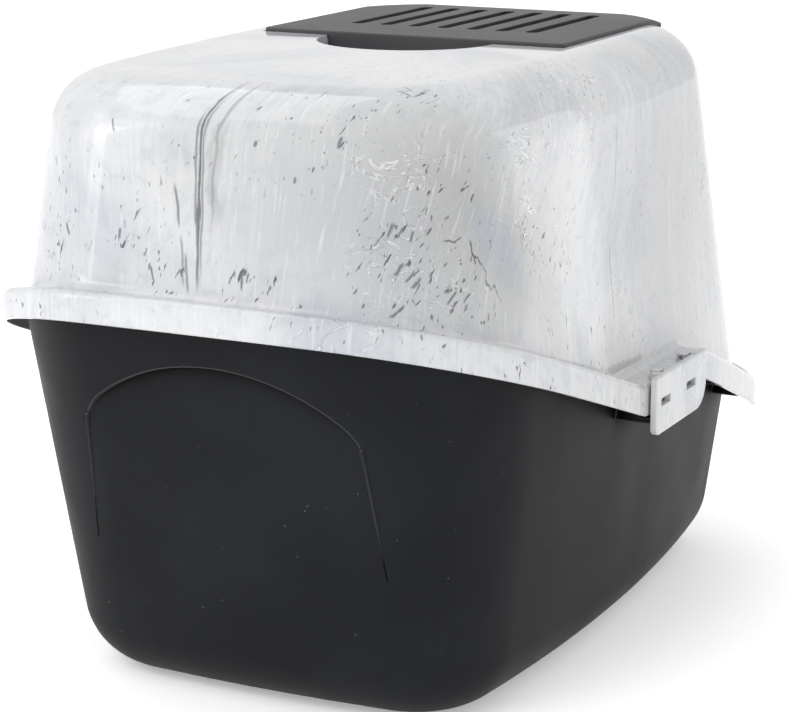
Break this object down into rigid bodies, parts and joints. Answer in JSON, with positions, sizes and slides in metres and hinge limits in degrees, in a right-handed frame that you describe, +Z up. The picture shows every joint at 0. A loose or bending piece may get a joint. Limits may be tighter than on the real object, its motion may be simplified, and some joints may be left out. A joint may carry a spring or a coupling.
{
  "type": "covered litter box",
  "caption": "Covered cat litter box: deep dark tray, clip-on marble-look hood with a swing door, and a slotted lift-off vent cover over an odour filter.",
  "frame": {"origin": "on the floor, under the middle of the box's plan", "axes": "+Z up, +Y from the entrance towards the high rear wall, so the entrance faces -Y"},
  "size_m": [0.399, 0.556, 0.3855],
  "materials": {
    "anthracite": "satin",
    "marble_white": "glossy",
    "vent_grey": "satin",
    "filter_felt": "matte felt",
    "clear_smoke": "see-through"
  },
  "bodies": {
    "tray": {"tray": "anthracite"},
    "hood": {"hood": "marble_white", "carbon_filter": "filter_felt"},
    "vent_cover": {"vent_cover": "vent_grey"},
    "swing_door": {"swing_door": "clear_smoke"},
    "clip_left": {"clip_left": "marble_white"},
    "clip_right": {"clip_right": "marble_white"}
  },
  "joints": [
    {"name": "hood_lift", "type": "slide", "parent": "tray", "child": "hood", "axis": [0, 0, 1], "range_m": [0, 0.3]},
    {"name": "vent_cover_lift", "type": "slide", "parent": "hood", "child": "vent_cover", "axis": [0, 0, 1], "range_m": [0, 0.06]},
    {"name": "swing_door_hinge", "type": "hinge", "parent": "hood", "child": "swing_door", "pos_m": [0, -0.208, 0.316], "axis": [1, 0, 0], "range_deg": [-80, 80]},
    {"name": "clip_left_hinge", "type": "hinge", "parent": "hood", "child": "clip_left", "pos_m": [-0.191, 0.014, 0.1913], "axis": [0, 1, 0], "range_deg": [0, 80]},
    {"name": "clip_right_hinge", "type": "hinge", "parent": "hood", "child": "clip_right", "pos_m": [0.191, 0.014, 0.1913], "axis": [0, -1, 0], "range_deg": [0, 80]}
  ]
}
